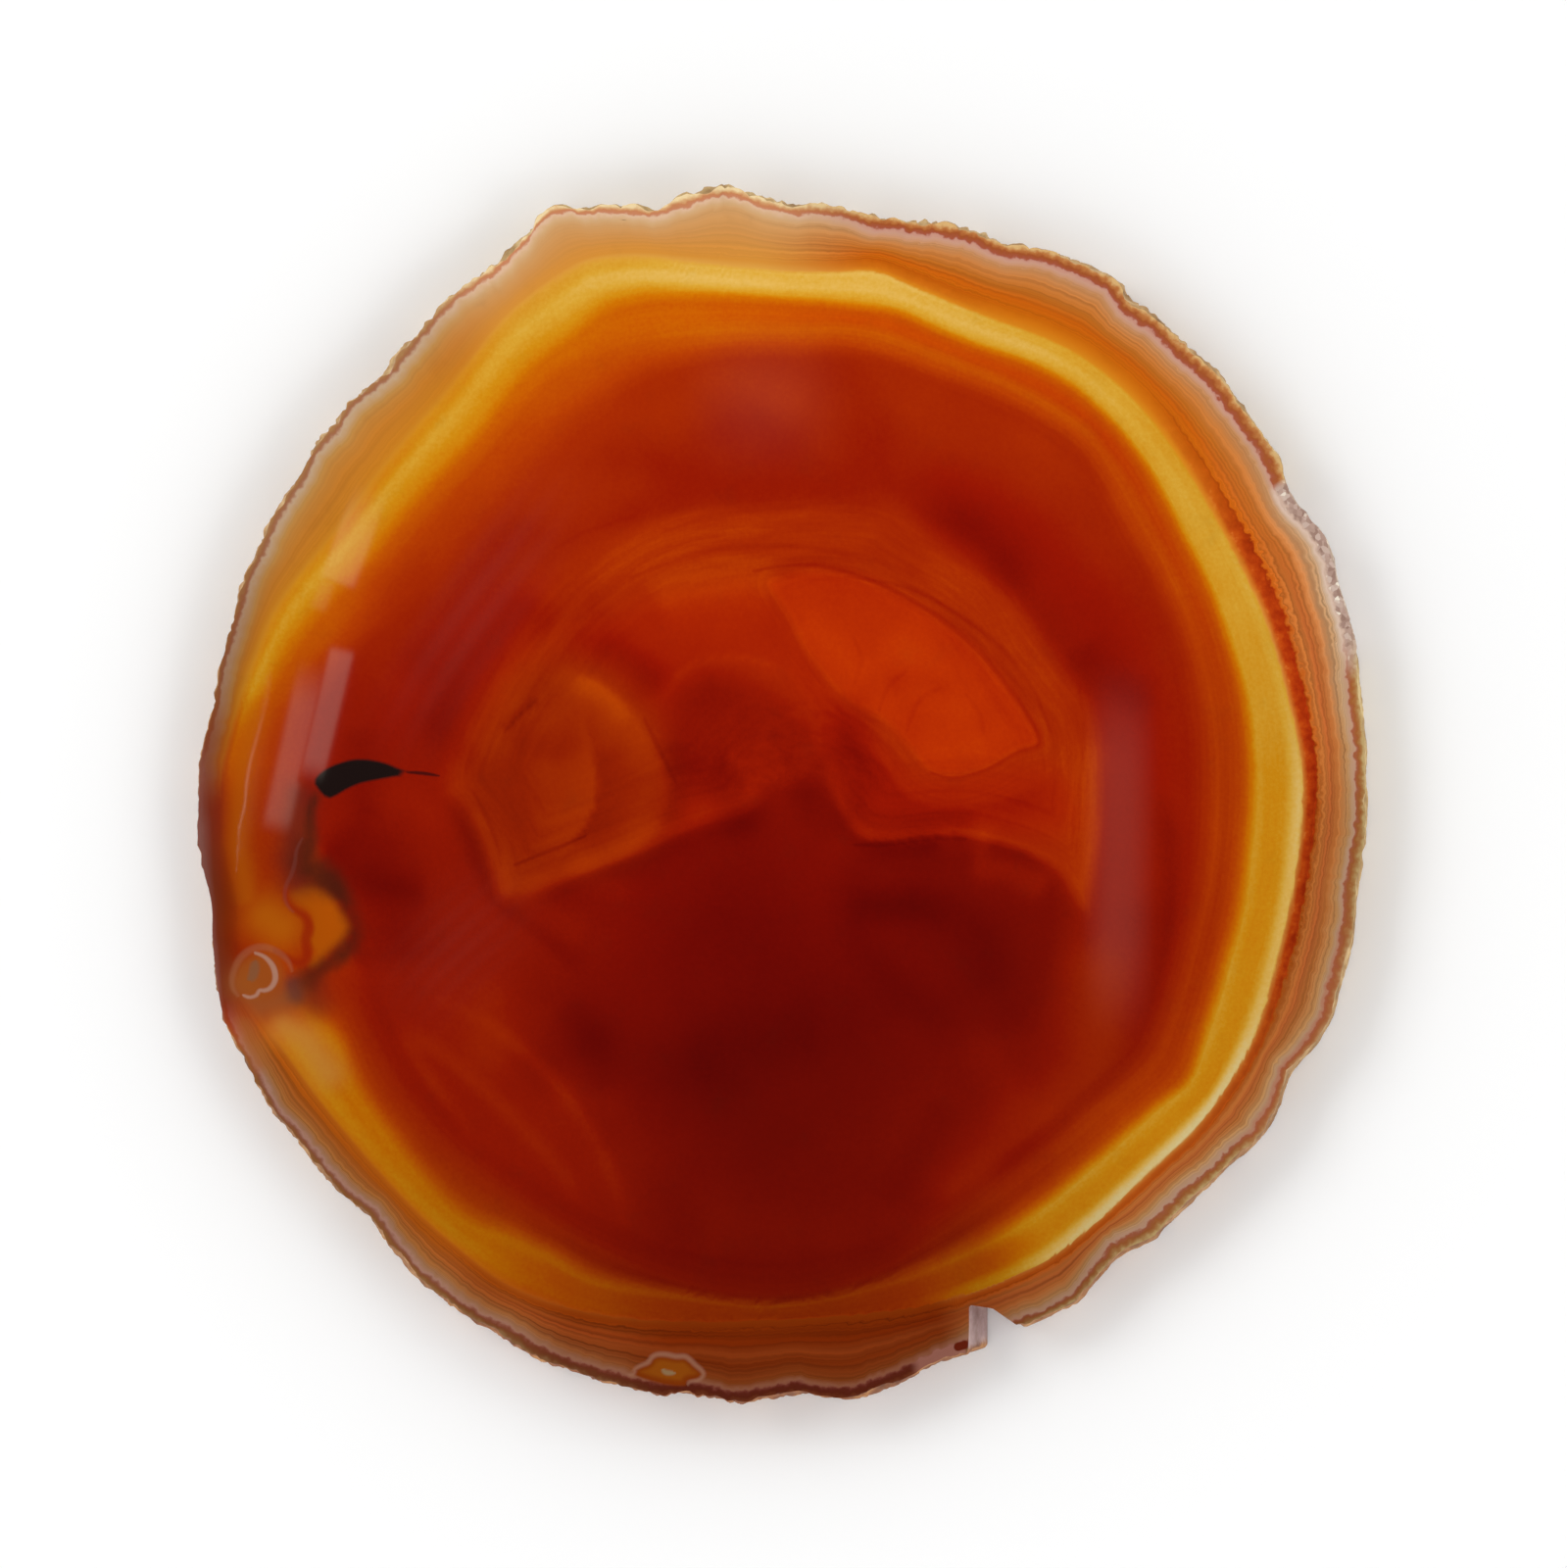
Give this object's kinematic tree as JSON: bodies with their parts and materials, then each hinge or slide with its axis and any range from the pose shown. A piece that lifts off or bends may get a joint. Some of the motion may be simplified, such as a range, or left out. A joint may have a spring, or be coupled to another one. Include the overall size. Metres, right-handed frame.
{
  "type": "agate slice",
  "caption": "Flat slice sawn across a banded red and cream agate nodule, polished on one face, with its rough natural rind around the rim and a small chip in one edge.",
  "frame": {"origin": "middle of the flat sawn back, under the centre of the slice's bounding box", "axes": "+Z is up, out of the polished face; +X is to the right and +Y is up as the polished face is seen in the picture"},
  "size_m": [0.1316, 0.137, 0.006],
  "materials": {
    "agate": "polished on the face, rough brown rind on the rim"
  },
  "bodies": {
    "root": {"agate_slice": "agate"}
  },
  "joints": []
}
